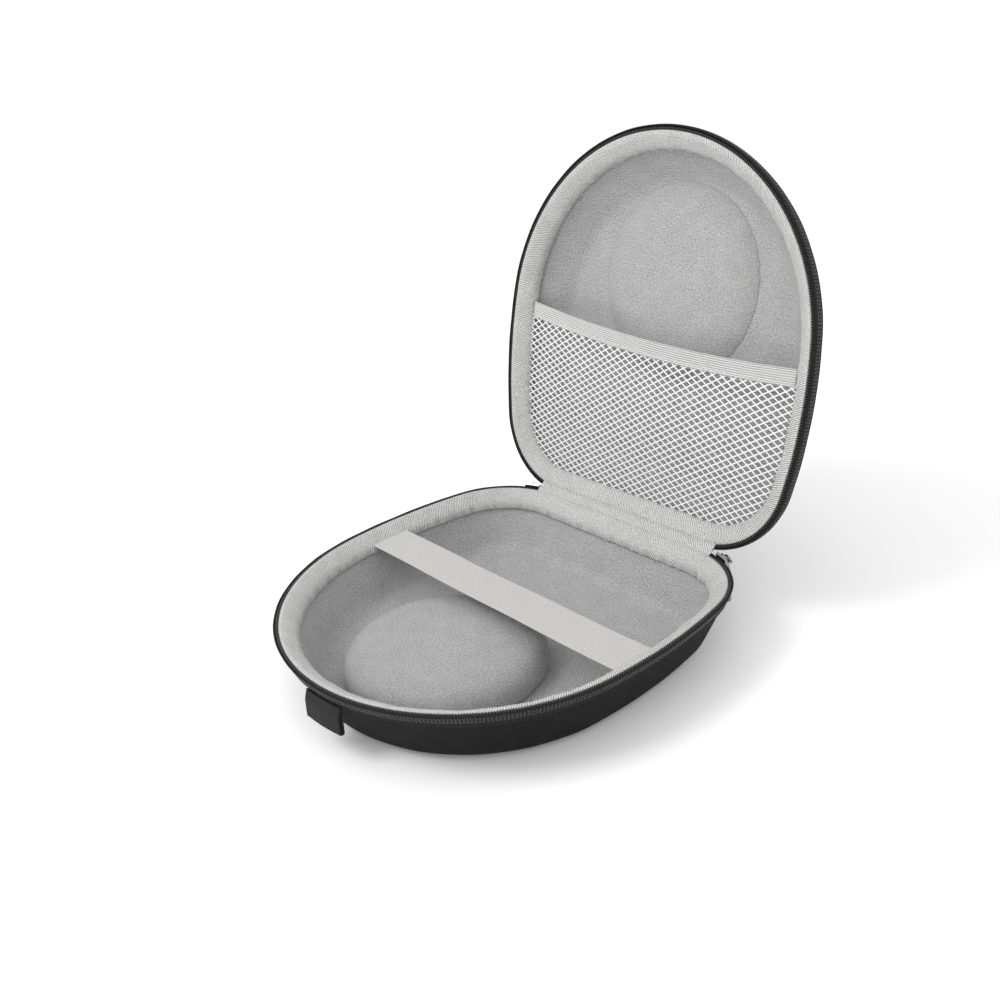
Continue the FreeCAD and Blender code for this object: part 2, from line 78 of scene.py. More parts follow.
# Sizes of what the CAD model leaves plain
FLAT_INSET = 30 * MM       # the floor and top are flat inside this inset
BAND_WIDTH = 9.4 * MM
BAND_DEPTH = 10.4 * MM
BAND_BEVEL = 5.6 * MM
BAND_TOP = 2.2 * MM
BAND_GAP = 0.3 * MM        # from the rim plane to the band
TAPE_DEPTH = 8.5 * MM
TAPE_T = 0.7 * MM
TEETH_PITCH = 1.3 * MM
WIRE_R = 0.33 * MM
COIL_INSET = -0.85 * MM    # middle of the teeth
COIL_HEIGHT = 1.15 * MM
COIL_WIDE = 0.78 * MM      # half the teeth's width, to the middle of the wire
COIL_DEEP = 0.66 * MM      # half their depth, to the middle of the wire
CORD_R = 0.32 * MM         # cord that runs through the teeth
STITCH_PITCH = 1.75 * MM         # chain stitches along the tape
STITCH_ROWS = (2.6 * MM, 4.6 * MM)
STITCH_SIZE = (1.7 * MM, 0.34 * MM)    # length and radius of one side of a stitch
STITCH_TILT = math.radians(36)
STITCH_APART = 0.48 * MM         # from a row's middle to the middle of each side
SKIN_STEP = 1.3 * MM             # spacing of the skins' points down the wall
SKIN_STEP_ALONG = 1.7 * MM
ZIP_END = math.radians(78.8)     # where the teeth stop, round each back corner
TAPE_END = math.radians(82)
SHEET_T = 0.7 * MM
WEBBING_T = 1.2 * MM
TAB_W = 26.5 * MM
TAB_TIP = 22.4 * MM              # how far its fold hangs below the rim plane
TAB_ANGLE = math.radians(-85.6)  # round the front arc from +X
POCKET_DROP = 7 * MM             # from the rim plane to the pocket's elastic
POCKET_SIDE_Y = -1 * MM          # the mouth's upper edge at the sides
POCKET_MID_Y = 5 * MM            # and at the middle
POCKET_TILT = 4 * MM             # its right end hangs this much lower than when level, its left higher
ELASTIC_W = 9.5 * MM
ELASTIC_T = 1.2 * MM
PAD_SUNK = 2 * MM                # how far the pads' feet are below the lining's surface
PAD_STEP = 1.5 * MM
PAD_PRESSURE = 4.0
PAD_FRAMES = 20                  # length of the cloth simulation
NET_PITCH = (6.45 * MM, 4.0 * MM)
NET_STRAND = 0.72 * MM           # width of the net's strands
NET_T = 0.5 * MM
NET_HIDDEN = 2.5 * MM            # how far the net runs up behind the elastic
POCKET_SLACK = 1.3 * MM          # how far the mouth bellies out
STRAP_SAG = 0.5 * MM


# ---------------- places

def meeting(centre_a, radius_a, centre_b, radius_b):
    """Where two circles meet, left of the way from the first centre to the second."""
    way = centre_b - centre_a
    distance = np.hypot(*way)
    along = (radius_a ** 2 - radius_b ** 2 + distance ** 2) / (2 * distance)
    aside = math.sqrt(radius_a ** 2 - along ** 2)
    ahead = way / distance
    return centre_a + along * ahead + aside * np.array([-ahead[1], ahead[0]])


SIDE_C = meeting(np.zeros(2), SIDE_R - FRONT_R, CORNER_C, SIDE_R - CORNER_R)
SIDE_START = math.atan2(-SIDE_C[1], -SIDE_C[0])
CORNER_START = math.atan2(CORNER_C[1] - SIDE_C[1], CORNER_C[0] - SIDE_C[0])
BACK_HALF = CORNER_C[0]


def rim_arcs():
    """Arcs of the rim line after its straight back, clockwise: (centre, radius, start, end)."""
    right = [(CORNER_C, CORNER_R, math.pi / 2, CORNER_START), (SIDE_C, SIDE_R, CORNER_START, SIDE_START)]
    front = (np.zeros(2), FRONT_R, SIDE_START, -math.pi - SIDE_START)
    left = [(centre * (-1, 1), radius, math.pi - end, math.pi - start)
            for centre, radius, start, end in right[::-1]]
    return right + [front] + left


ARCS = rim_arcs()
RIM_LENGTH = 2 * BACK_HALF + sum(radius * (start - end) for _, radius, start, end in ARCS)


def rim(s):
    """Points of the rim line and its outward normals at distances s."""
    s = np.mod(s, RIM_LENGTH)
    point = np.stack([np.where(s > RIM_LENGTH / 2, s - RIM_LENGTH, s), np.full_like(s, BACK_Y)], -1)
    normal = np.zeros_like(point)
    normal[..., 1] = 1
    reached = BACK_HALF
    for centre, radius, start, end in ARCS:
        here = (s >= reached) & (s < reached + radius * (start - end))
        angle = start - (s[here] - reached) / radius
        normal[here] = np.stack([np.cos(angle), np.sin(angle)], -1)
        point[here] = centre + radius * normal[here]
        reached += radius * (start - end)
    return point, normal


def swing(half, x, y, height):
    """Points in space from a plan place and a height, with the lid swung open."""
    x, y, height = np.broadcast_arrays(x, y, height)
    if half == "base":
        return np.stack([x, y, RIM_Z - height], -1)
    back = y - HINGE_Y
    return np.stack([x, HINGE_Y + back * math.cos(OPEN_ANGLE) + height * math.sin(OPEN_ANGLE),
                     RIM_Z - back * math.sin(OPEN_ANGLE) + height * math.cos(OPEN_ANGLE)], -1)


def place(half, s, inset, height):
    """Points in space from places on one half."""
    s, inset, height = (np.asarray(a, float) for a in np.broadcast_arrays(s, inset, height))
    point, normal = rim(s)
    plan = point - normal * inset[..., None]
    return swing(half, plan[..., 0], plan[..., 1], height)


def inset_at(x, y):
    """Inset of plan points near the rim, and the outward normals there."""
    side = np.where(x < 0, -1.0, 1.0)
    right = np.stack([np.abs(x), y], -1)
    centre = np.zeros_like(right)
    radius = np.full(x.shape, FRONT_R)
    arcs = (SIDE_C, SIDE_R, SIDE_START), (CORNER_C, CORNER_R, CORNER_START)
    for arc_centre, arc_radius, arc_start in arcs:
        way = right - arc_centre
        here = (np.arctan2(way[..., 1], way[..., 0]) > arc_start) & (way[..., 0] > 0)
        centre[here] = arc_centre
        radius[here] = arc_radius
    way = right - centre
    distance = np.linalg.norm(way, axis=-1)
    normal = way / np.maximum(distance, MM)[..., None]
    inset = radius - distance
    back = (np.abs(x) < BACK_HALF) & (y > CORNER_C[1])
    inset[back] = BACK_Y - y[back]
    normal[back] = (0, 1)
    normal[..., 0] *= side
    return inset, normal


def probe(half, node, start, toward):
    """Where a ray between two (x, y, height) places meets a CAD node, as (x, y, height)."""
    mesh = frame["nodes"][node].data
    tree = BVHTree.FromPolygons([v.co for v in mesh.vertices], [p.vertices for p in mesh.polygons])
    start, toward = np.array(start, float), np.array(toward, float)
    here, there = (Vector(swing(half, *spot)) for spot in (start, toward))
    hit = tree.ray_cast(here, there - here)[0]
    share = (hit - here).length / (there - here).length
    return start + (toward - start) * share


def ripple(s, v, waves, seed):
    """Gentle unevenness from -1 to 1. waves lists the rough wavelengths along the rim."""
    rng = np.random.default_rng(seed)
    total = np.zeros(np.broadcast(s, v).shape)
    for length in waves:
        turns = round(RIM_LENGTH / length)
        phase, slant = rng.uniform(0, 2 * math.pi), rng.uniform(-1, 1)
        total += np.sin(2 * math.pi * (turns * s / RIM_LENGTH + slant * v / length) + phase)
    return total / len(waves)


# ---------------- meshes

def new_object(name, points, faces, cloth=None):
    """Smooth mesh object. cloth holds each face corner's place on the flat cloth, in metres."""
    mesh = bpy.data.meshes.new(name)
    mesh.from_pydata(np.asarray(points).reshape(-1, 3).tolist(), [], np.asarray(faces).tolist())
    if cloth is not None:
        mesh.uv_layers.new(name="cloth").data.foreach_set("uv", np.asarray(cloth, float).ravel())
    mesh.polygons.foreach_set("use_smooth", [True] * len(mesh.polygons))
    obj = bpy.data.objects.new(name, mesh)
    bpy.context.scene.collection.objects.link(obj)
    return obj


def grid(name, points, cloth, around=False, closed=False):
    """Mesh through rows of points. around joins the last row to the first, closed the last column to
    the first, and cloth is one row or column longer where they join."""
    rows, columns = points.shape[:2]
    i, j = np.meshgrid(np.arange(rows - (not around)), np.arange(columns - (not closed)), indexing="ij")
    corners = [(i, j), (i + 1, j), (i + 1, j + 1), (i, j + 1)]
    faces = np.stack([(a % rows) * columns + b % columns for a, b in corners], -1).reshape(-1, 4)
    flat = np.stack([cloth[a, b] for a, b in corners], 2)
    return new_object(name, points, faces, flat)


def seal(obj):
    """Fills open ends and turns all faces outwards."""
    mesh = bmesh.new()
    mesh.from_mesh(obj.data)
    bmesh.ops.holes_fill(mesh, edges=[edge for edge in mesh.edges if edge.is_boundary], sides=0)
    bmesh.ops.recalc_face_normals(mesh, faces=mesh.faces)
    mesh.to_mesh(obj.data)
    mesh.free()
    return obj


def weld(obj):
    """Joins points that meet and turns all faces outwards."""
    mesh = bmesh.new()
    mesh.from_mesh(obj.data)
    bmesh.ops.remove_doubles(mesh, verts=mesh.verts, dist=0.001 * MM)
    bmesh.ops.recalc_face_normals(mesh, faces=mesh.faces)
    mesh.to_mesh(obj.data)
    mesh.free()


def displaced(points, amount, around=False, closed=False):
    """Rows of points moved along their surface's normals."""
    def slope(axis, joined):
        if joined:
            return np.roll(points, -1, axis) - np.roll(points, 1, axis)
        return np.gradient(points, axis=axis)
    normal = np.cross(slope(0, around), slope(1, closed))
    normal /= np.maximum(np.linalg.norm(normal, axis=-1, keepdims=True), 1e-12)
    return points + normal * np.asarray(amount)[..., None]


def lengths(points):
    """Distance travelled along a row of points."""
    steps = np.linalg.norm(np.diff(points, axis=0), axis=-1)
    return np.concatenate([[0.0], np.cumsum(steps)])


def resampled(points, spacing):
    """A row of points at even distances."""
    travelled = lengths(points)
    even = np.linspace(0, travelled[-1], max(2, round(travelled[-1] / spacing) + 1))
    return np.stack([np.interp(even, travelled, points[:, axis]) for axis in range(points.shape[1])], -1)


def rounded(corners, radii, steps=6):
    """Closed or open row of corners with each one rounded by about its radius."""
    corners = np.asarray(corners, float)
    points = []
    for index, radius in enumerate(radii):
        corner = corners[index]
        if radius == 0:
            points.append(corner)
            continue
        before, after = corners[index - 1], corners[(index + 1) % len(corners)]
        ends = [corner + (other - corner) * min(radius / np.hypot(*(other - corner)), 0.5)
                for other in (before, after)]
        for t in np.linspace(0, 1, steps):
            points.append((1 - t) ** 2 * ends[0] + 2 * t * (1 - t) * corner + t ** 2 * ends[1])
    return np.array(points)


def sweep(name, half, section, spacing, span=None, bulge=None):
    """A closed section of (inset, height) points swept along the rim, all round or over a span.

    bulge(s, section) gives how far each point stands out, for puckers and folds.
    """
    around = span is None
    start, end = span or (0, RIM_LENGTH)
    count = round((end - start) / spacing)
    s = start + (end - start) * np.arange(count + 1) / count
    rows = s[:-1] if around else s
    points = place(half, rows[:, None], section[None, :, 0], section[None, :, 1])
    if bulge is not None:
        points = displaced(points, bulge(rows[:, None], section[None]), around, True)
    travelled = lengths(np.vstack([section, section[:1]]))
    cloth = np.stack(np.meshgrid(s, travelled, indexing="ij"), -1)
    return seal(grid(name, points, cloth, around, True))


def scattered(name, points, faces, middles, axes):
    """Copies of one small shape. axes holds three unit vectors for each copy."""
    copies = middles[:, None] + np.einsum("pk,mkd->mpd", points, axes)
    step = np.arange(len(middles))[:, None, None] * len(points)
    return new_object(name, copies, (faces[None] + step).reshape(-1, faces.shape[1]))


def unit(ways):
    """Vectors scaled to length one."""
    return ways / np.linalg.norm(ways, axis=-1, keepdims=True)


def stroke(length, radius):
    """A six-sided grain with tapered ends, along its first axis."""
    rings = [(-0.5, 0.35), (-0.38, 0.85), (0.38, 0.85), (0.5, 0.35)]
    angles = np.arange(6) * math.pi / 3
    points = [(length * x, radius * r * math.cos(a), radius * r * math.sin(a))
              for x, r in rings for a in angles]
    faces = [[6 * k + i, 6 * k + (i + 1) % 6, 6 * k + 6 + (i + 1) % 6, 6 * k + 6 + i]
             for k in range(len(rings) - 1) for i in range(6)]
    faces += [[0, 3, 2, 1], [0, 5, 4, 3], [18, 19, 20, 21], [18, 21, 22, 23]]
    return np.array(points), np.array(faces)


# ---------------- materials

class Paint:
    """A short way to write the nodes of one material."""

    def __init__(self, name, uses_cloth):
        self.material = bpy.data.materials.new(name)
        self.material.use_nodes = True
        self.tree = self.material.node_tree
        self.shader = self.tree.nodes["Principled BSDF"]
        if uses_cloth:
            self.where = self.node("ShaderNodeUVMap", uv_map="cloth").outputs["UV"]
        else:
            self.where = self.node("ShaderNodeTexCoord").outputs["Object"]
        split = self.node("ShaderNodeSeparateXYZ")
        self.feed(split.inputs[0], self.where)
        self.u, self.v = split.outputs[0], split.outputs[1]

    def node(self, kind, **settings):
        made = self.tree.nodes.new(kind)
        for name, value in settings.items():
            setattr(made, name, value)
        return made

    def feed(self, socket, value):
        if isinstance(value, bpy.types.NodeSocket):
            self.tree.links.new(value, socket)
        else:
            socket.default_value = value

    def math(self, operation, *values):
        made = self.node("ShaderNodeMath", operation=operation)
        for socket, value in zip(made.inputs, values):
            self.feed(socket, value)
        return made.outputs[0]

    def hump(self, value):
        """Round ridges, one for each whole number of value."""
        return self.math("ABSOLUTE", self.math("SINE", self.math("MULTIPLY", value, math.pi)))

    def noise(self, scale, detail=2.0, roughness=0.5):
        made = self.node("ShaderNodeTexNoise")
        self.feed(made.inputs["Vector"], self.where)
        made.inputs["Scale"].default_value = scale
        made.inputs["Detail"].default_value = detail
        made.inputs["Roughness"].default_value = roughness
        return made.outputs["Fac"]

    def spread(self, value, low, high, new_low=0.0, new_high=1.0):
        made = self.node("ShaderNodeMapRange")
        for socket, given in zip(made.inputs, (value, low, high, new_low, new_high)):
            self.feed(socket, given)
        return made.outputs[0]

    def mix(self, share, dark, light):
        made = self.node("ShaderNodeMix", data_type="RGBA")
        self.feed(made.inputs["Factor"], share)
        for socket, colour in ((made.inputs[6], dark), (made.inputs[7], light)):
            self.feed(socket, colour if isinstance(colour, bpy.types.NodeSocket) else (*colour, 1.0))
        return made.outputs[2]

    def bump(self, height, distance):
        made = self.node("ShaderNodeBump")
        self.feed(made.inputs["Height"], height)
        made.inputs["Distance"].default_value = distance
        made.inputs["Strength"].default_value = 1.0
        self.feed(self.shader.inputs["Normal"], made.outputs[0])

    def set(self, **values):
        for name, value in values.items():
            self.feed(self.shader.inputs[name.replace("_", " ")], value)


def plain_weave(paint, pitch):
    """Threads that pass over and under each other."""
    u, v = (paint.math("DIVIDE", value, pitch) for value in (paint.u, paint.v))
    floors = paint.math("ADD", paint.math("FLOOR", u), paint.math("FLOOR", v))
    over = paint.math("FLOORED_MODULO", floors, 2.0)
    under = paint.math("SUBTRACT", 1.0, over)
    warp, weft = paint.hump(u), paint.hump(v)

    def showing(shows, round_across, round_along):
        height = paint.math("MULTIPLY_ADD", round_along, 0.4, paint.math("MULTIPLY", round_across, 0.6))
        return paint.math("MULTIPLY", shows, height)

    return paint.math("ADD", showing(over, warp, weft), showing(under, weft, warp))


def slanted_ribs(paint, pitch, slant):
    """Ribs across the cloth's first direction, leaning by slant."""
    leaning = paint.math("ADD", paint.u, paint.math("MULTIPLY", paint.v, slant))
    return paint.hump(paint.math("DIVIDE", leaning, pitch))


def lengthwise_ribs(paint, pitch):
    """Straight ribs along the cloth's first direction."""
    return paint.hump(paint.math("DIVIDE", paint.v, pitch))


def herringbone(paint, pitch, column):
    """Ribs that turn back at every column."""
    share = paint.math("PINGPONG", paint.u, column)
    return paint.hump(paint.math("DIVIDE", paint.math("ADD", paint.v, share), pitch))


def knit(paint, pitch):
    """Rows of small V-shaped loops."""
    u = paint.math("DIVIDE", paint.u, pitch)
    slant = paint.math("PINGPONG", u, 0.5)
    v = paint.math("ADD", paint.math("DIVIDE", paint.v, pitch * 0.8), slant)
    return paint.math("MULTIPLY", paint.hump(v), paint.math("MULTIPLY_ADD", paint.hump(u), 0.5, 0.5))


PATCH_SHARE = 0.08       # how much of a fabric's tone is slow patches


def fabric(name, dark, light, pattern, relief, fuzz=0.35, sheen=0.05, roughness=0.9,
           grain=2600.0, grain_share=0.5, gloss=0.25, uses_cloth=True):
    """Cloth: a thread pattern whose colour is painted shade down between the threads and painted highlight
    on their crowns, fibre grain, slow patches of colour and a little sheen.
    """
    paint = Paint(name, uses_cloth)
    threads = pattern(paint)
    grain_noise = paint.spread(paint.noise(grain, 3.0, 0.6), 0.3, 0.7)
    patches = paint.spread(paint.noise(90.0, 3.0), 0.3, 0.7)
    # colour follows the threads' height: painted shade between the threads and painted highlight on their
    # crowns, mixed with real fibre grain and slow patches
    tone_with_painted_thread_shading = paint.math("MULTIPLY_ADD", grain_noise, grain_share,
                      paint.math("MULTIPLY", threads, 1 - grain_share))
    tone_with_painted_thread_shading = paint.math("ADD", paint.math("MULTIPLY", tone_with_painted_thread_shading, 1 - PATCH_SHARE),
                      paint.math("MULTIPLY", patches, PATCH_SHARE))
    paint.set(Base_Color=paint.mix(tone_with_painted_thread_shading, dark, light), Sheen_Weight=sheen, Sheen_Roughness=0.5,
              Specular_IOR_Level=gloss,
              Roughness=paint.spread(grain_noise, 0.0, 1.0, roughness - 0.08, min(roughness + 0.08, 1.0)))
    paint.bump(paint.math("ADD", threads, paint.math("MULTIPLY", grain_noise, fuzz)), relief)
    return paint.material


def metal(name, colour, roughness):
    """Bright plated metal with fine scratches and slightly worn patches."""
    paint = Paint(name, uses_cloth=False)
    smear = paint.spread(paint.noise(700.0, 4.0, 0.65), 0.35, 0.65)
    paint.set(Base_Color=paint.mix(smear, tuple(c * 0.86 for c in colour), colour), Metallic=1.0,
              Roughness=paint.spread(smear, 0.0, 1.0, roughness, roughness + 0.14))
    paint.bump(paint.noise(2500.0, 3.0), 0.02 * MM)
    return paint.material


def nylon(name, colour):
    """Black moulded nylon, a little glossy."""
    paint = Paint(name, uses_cloth=False)
    smear = paint.noise(900.0, 3.0)
    paint.set(Base_Color=paint.mix(smear, tuple(c * 0.6 for c in colour), colour), Specular_IOR_Level=0.6,
              Roughness=paint.spread(smear, 0.3, 0.7, 0.22, 0.38))
    paint.bump(smear, 0.02 * MM)
    return paint.material


def foam(name, colour):
    """Fine-celled moulded foam."""
    paint = Paint(name, uses_cloth=False)
    cells = paint.node("ShaderNodeTexVoronoi")
    paint.feed(cells.inputs["Vector"], paint.where)
    cells.inputs["Scale"].default_value = 1800.0
    dark = tuple(c * 0.7 for c in colour)
    paint.set(Base_Color=paint.mix(paint.noise(300.0), dark, colour), Roughness=0.85)
    paint.bump(cells.outputs["Distance"], 0.1 * MM)
    return paint.material


def grey(value):
    """Neutral colour from a linear brightness."""
    return (value, value, value)


MATERIALS = {
    # cover: black cloth whose lighter colour sits only on the threads' crowns as painted highlights, with
    # painted shade between the threads
    "cover_fabric": fabric("cover_fabric", grey(0.0), grey(0.052),
                           lambda p: p.spread(plain_weave(p, 1.3 * MM), 0.62, 1.0), 0.45 * MM, sheen=0.0,
                           roughness=0.6, grain_share=0.06, gloss=0.05),
    "moulded_foam": foam("moulded_foam", grey(0.03)),
    "lining_fabric": fabric("lining_fabric", grey(0.13), grey(0.62), lambda p: knit(p, 1.3 * MM),
                            0.25 * MM, sheen=0.1, grain=850.0, grain_share=0.5, gloss=0.1),
    "pad_fabric": fabric("pad_fabric", grey(0.09), grey(0.58), lambda p: slanted_ribs(p, 1.2 * MM, 0.35),
                         0.25 * MM, sheen=0.1, grain=1050.0, grain_share=0.75, fuzz=0.9, gloss=0.1),
    "binding_fabric": fabric("binding_fabric", grey(0.10), (0.82, 0.82, 0.81),
                             lambda p: slanted_ribs(p, 1.2 * MM, 0.45), 0.4 * MM, sheen=0.1,
                             grain=950.0, grain_share=0.4, fuzz=0.7, gloss=0.1),
    "zip_tape": fabric("zip_tape", grey(0.002), grey(0.03), lambda p: slanted_ribs(p, 1.0 * MM, 0.0),
                       0.25 * MM, sheen=0.0, grain=1000.0, grain_share=0.3, gloss=0.1),
    "zip_coil": nylon("zip_coil", grey(0.03)),
    "slider_metal": metal("slider_metal", (0.30, 0.30, 0.31), 0.14),
    "strap_elastic": fabric("strap_elastic", (0.33, 0.325, 0.315), (0.56, 0.55, 0.54),
                            lambda p: plain_weave(p, 1.0 * MM), 0.12 * MM, sheen=0.05, grain=900.0,
                            grain_share=0.5, gloss=0.15),
    "pocket_elastic": fabric("pocket_elastic", grey(0.24), (0.68, 0.68, 0.67),
                             lambda p: lengthwise_ribs(p, 1.2 * MM), 0.35 * MM, sheen=0.05,
                             grain=900.0, grain_share=0.25, gloss=0.15),
    "pocket_mesh": fabric("pocket_mesh", grey(0.6), grey(0.88), lambda p: slanted_ribs(p, 0.4 * MM, 0.6),
                          0.04 * MM, sheen=0.05, gloss=0.2),
    "webbing": fabric("webbing", grey(0.0), grey(0.06),
                      lambda p: p.spread(herringbone(p, 1.2 * MM, 2.6 * MM), 0.3, 1.0), 0.45 * MM, sheen=0.0,
                      roughness=0.65, grain_share=0.1, gloss=0.1),
    "thread_dark": nylon("thread_dark", grey(0.02)),
    "thread_light": fabric("thread_light", grey(0.5), grey(0.85), lambda p: slanted_ribs(p, 0.3 * MM, 1.0),
                           0.03 * MM, sheen=0.05, uses_cloth=False),
}


def dress(obj, material):
    """Gives an object its material."""
    obj.data.materials.clear()
    obj.data.materials.append(MATERIALS[material])
    return obj


def finish_cad(node, material, bevel=None):
    """A CAD node that stays: its material, and softened edges if it is small hardware."""
    obj = dress(frame["nodes"][node], material)
    if bevel:
        rounding = obj.modifiers.new("rounding", "BEVEL")
        rounding.width = bevel
        rounding.segments = 3
        rounding.limit_method = "ANGLE"
        rounding.angle_limit = math.radians(25)   # only true edges, not the facets of round faces
        obj.modifiers.new("shading", "WEIGHTED_NORMAL")
    return obj


# ---------------- moulded skins

def skin_profile(half, node, outside):
    """Section of a skin's outer or inner face, from under the rim in to the flat."""
    reach = 3 * FLAT_INSET
    focus = np.array([0, FLAT_INSET - FRONT_R, 0])
    points = []
    for angle in np.linspace(math.radians(7), math.radians(90), 60):
        far = focus + reach * np.array([0, -math.cos(angle), math.sin(angle)])
        hit = probe(half, node, far, focus) if outside else probe(half, node, focus, far)
        points.append((hit[1] + FRONT_R, hit[2]))
    return resampled(np.array(points), SKIN_STEP)


def skin(half, node, outside, material):
    """A thin fabric skin on one face of the moulded board, a little uneven."""
    profile = skin_profile(half, node, outside)
    way = np.gradient(profile, axis=0)
    out = unit(np.stack([-way[:, 1], way[:, 0]], -1))
    count = round(RIM_LENGTH / SKIN_STEP_ALONG)
    s = RIM_LENGTH * np.arange(count + 1) / count
    point, normal = rim(s)
    edge = point - normal * profile[-1, 0]
    centre = np.array([0, (BACK_Y - FRONT_R) / 2])
    share = np.linspace(1, 0, 30)[1:]
    flat = centre + (edge - centre)[:, None] * share[None, :, None]
    travelled = lengths(profile)
    reach = travelled[-1] - travelled
    depth = np.concatenate([travelled, travelled[-1] + (1 - share) * FRONT_R])
    calm = np.concatenate([np.ones(len(profile)), share ** 2])
    waves = 0.12 * MM * calm * ripple(s[:, None], depth[None], (31 * MM, 47 * MM, 83 * MM), 3)

    def layer(offset):
        wall = place(half, s[:, None], profile[:, 0] + out[:, 0] * offset[:, :len(profile)],
                     profile[:, 1] + out[:, 1] * offset[:, :len(profile)])
        floor = swing(half, flat[..., 0], flat[..., 1], profile[-1, 1] + offset[:, len(profile):])
        return np.concatenate([wall, floor], 1)

    back = waves + SHEET_T * (-1 if outside else 1)
    points = np.concatenate([layer(waves), layer(back)[:, ::-1]], 1)
    cloth = np.concatenate([edge[:, None] + normal[:, None] * reach[None, :, None], flat], 1)
    cloth = np.concatenate([cloth, cloth[:, ::-1], cloth[:, :1]], 1)
    obj = grid(node + "_cloth", points[:-1], cloth, around=True, closed=True)
    weld(obj)
    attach(dress(obj, material), half)
    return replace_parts(obj, node)


# ---------------- rim bands, tapes and teeth

def band_section(half):
    """Padded binding: flat by the teeth, rolling over and down inside the wall."""
    lining = half + "_lining"
    focus = np.array([0, FLAT_INSET - FRONT_R, 0])
    wall = []
    for height in (BAND_DEPTH, 0.6 * BAND_DEPTH, 0.28 * BAND_DEPTH):
        hit = probe(half, lining, focus + (0, 0, height), focus + (0, -2 * FLAT_INSET, height))
        wall.append((hit[1] + FRONT_R, height))
    corners = [(0, 2.4 * MM), (0, BAND_GAP), (BAND_TOP, BAND_GAP), (BAND_WIDTH, BAND_BEVEL),
               (BAND_WIDTH, BAND_DEPTH), *wall]
    return rounded(corners, [0, 0.5 * MM, 2.5 * MM, 4 * MM, 0.8 * MM] + [0] * len(wall))


def rim_band(half):
    """Light binding, puckered by its stitching and a little wavy at its inner edge."""
    pucker, sway, scallop = 0.16 * MM, 0.2 * MM, 1.1 * MM
    seam_inset, seam_width, seam_depth = 1.4 * MM, 0.5 * MM, 0.22 * MM

    def puckers(s, section):
        inset, height = section[..., 0], section[..., 1]
        showing = np.clip(inset / (3 * MM), 0, 1) * (height < BAND_DEPTH - 0.5 * MM)
        small = ripple(s, inset, (3.1 * MM, 4.7 * MM, 6.3 * MM), 11) * pucker
        large = ripple(s, inset, (17 * MM, 29 * MM), 12) * sway
        lower = np.clip((height - BAND_BEVEL) / (BAND_DEPTH - BAND_BEVEL), 0, 1)
        edge = ripple(s, 0 * inset, (6.5 * MM, 9 * MM, 13 * MM), 13) * lower * scallop
        seam = np.exp(-((inset - seam_inset) / seam_width) ** 2) * (height < BAND_TOP) * seam_depth
        return (small + large + edge) * showing - seam

    section = resampled(band_section(half), 0.7 * MM)
    name = half + "_rim_band"
    band = sweep(name + "_cloth", half, section, 0.9 * MM, bulge=puckers)
    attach(dress(band, "binding_fabric"), half)
    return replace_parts(band, name)


def zip_span(angle):
    """Where the zip's pieces start and end along the rim, from an angle on the back corners."""
    start = BACK_HALF + CORNER_R * (math.pi / 2 - angle)
    return start, RIM_LENGTH - start


def tape_section(half):
    """Insets and heights of the tape's outer face."""
    node = half + "_zip_tape"
    out = -FRONT_R - 10 * MM
    heights = np.linspace(BAND_GAP + 0.05 * MM, TAPE_DEPTH - 0.05 * MM, 26)
    insets = [probe(half, node, (0, out, height), (0, 0, height))[1] + FRONT_R for height in heights]
    return np.stack([insets, heights], -1)


def zip_tape(half):
    """Woven tape with a rolled fold along its free edge and two rows of chain stitches."""
    outer = tape_section(half)
    inner = outer[::-1] + (TAPE_T, 0)
    fold, fold_width, fold_rise = TAPE_DEPTH - 1.5 * MM, 0.9 * MM, 0.32 * MM

    def roll(s, section):
        middle = np.interp(section[..., 1], outer[:, 1], outer[:, 0] + TAPE_T / 2)
        rolled = np.exp(-((section[..., 1] - fold) / fold_width) ** 2) * fold_rise
        waves = ripple(s, section[..., 1], (23 * MM, 41 * MM), 21) * 0.08 * MM
        return (rolled + waves) * (section[..., 0] < middle)

    span = zip_span(TAPE_END)
    name = half + "_zip_tape"
    tape = sweep(name + "_cloth", half, np.vstack([outer, inner]), 1.5 * MM, span, roll)
    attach(dress(tape, "zip_tape"), half)
    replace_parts(tape, name)
    for row, height in enumerate(STITCH_ROWS, 1):
        chain(half, f"{half}_tape_stitches_{row}", outer, height, span)


def chain(half, name, face, height, span):
    """A row of V-shaped chain stitches on the tape's outer face, at about a height."""
    s = np.arange(span[0] + STITCH_PITCH, span[1] - STITCH_PITCH, STITCH_PITCH)
    points, faces = stroke(*STITCH_SIZE)
    nudge, step = 0.1 * MM, 0.2 * MM
    middles, axes = [], []
    for sign in (-1, 1):
        level = height + STITCH_APART * sign
        inset, above, below = np.interp([level, level + step, level - step], face[:, 1], face[:, 0])
        along = unit(place(half, s + nudge, inset, level) - place(half, s - nudge, inset, level))
        across = unit(place(half, s, above, level + step) - place(half, s, below, level - step))
        tilt = STITCH_TILT * sign
        first = along * math.cos(tilt) + across * math.sin(tilt)
        second = across * math.cos(tilt) - along * math.sin(tilt)
        middles.append(place(half, s, inset, level))
        axes.append(np.stack([first, second, np.cross(first, second)], 1))
    obj = seal(scattered(name, points, faces, np.concatenate(middles), np.concatenate(axes)))
    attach(dress(obj, "thread_dark"), half)


